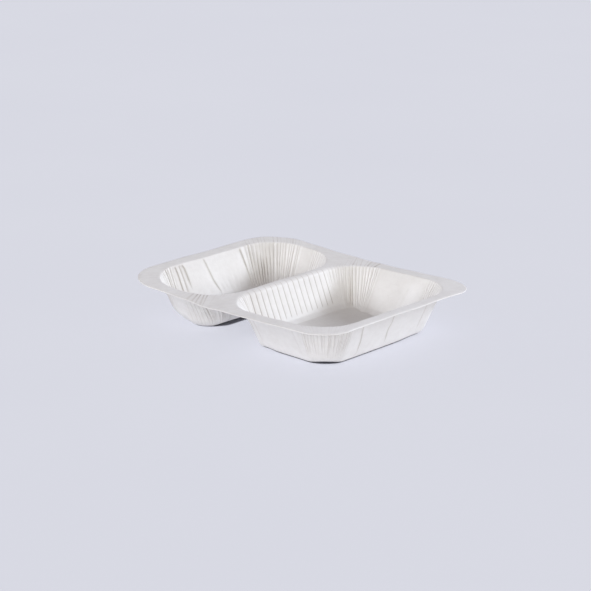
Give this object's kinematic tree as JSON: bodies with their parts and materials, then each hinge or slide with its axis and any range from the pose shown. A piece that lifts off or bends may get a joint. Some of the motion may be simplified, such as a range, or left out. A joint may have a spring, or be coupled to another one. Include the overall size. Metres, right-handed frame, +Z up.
{
  "type": "food sealing tray",
  "caption": "Shallow pressed-board food tray with a small and a large compartment, pleated sloping walls and one flat rim that a lidding film is sealed to.",
  "frame": {"origin": "underside of the floors, in the middle of the rim's outline", "axes": "+X along the tray, from the small compartment to the large one; +Y across it; +Z up, out of the compartments"},
  "size_m": [0.227, 0.178, 0.033],
  "materials": {
    "board": "satin"
  },
  "bodies": {
    "root": {"tray": "board"}
  },
  "joints": []
}
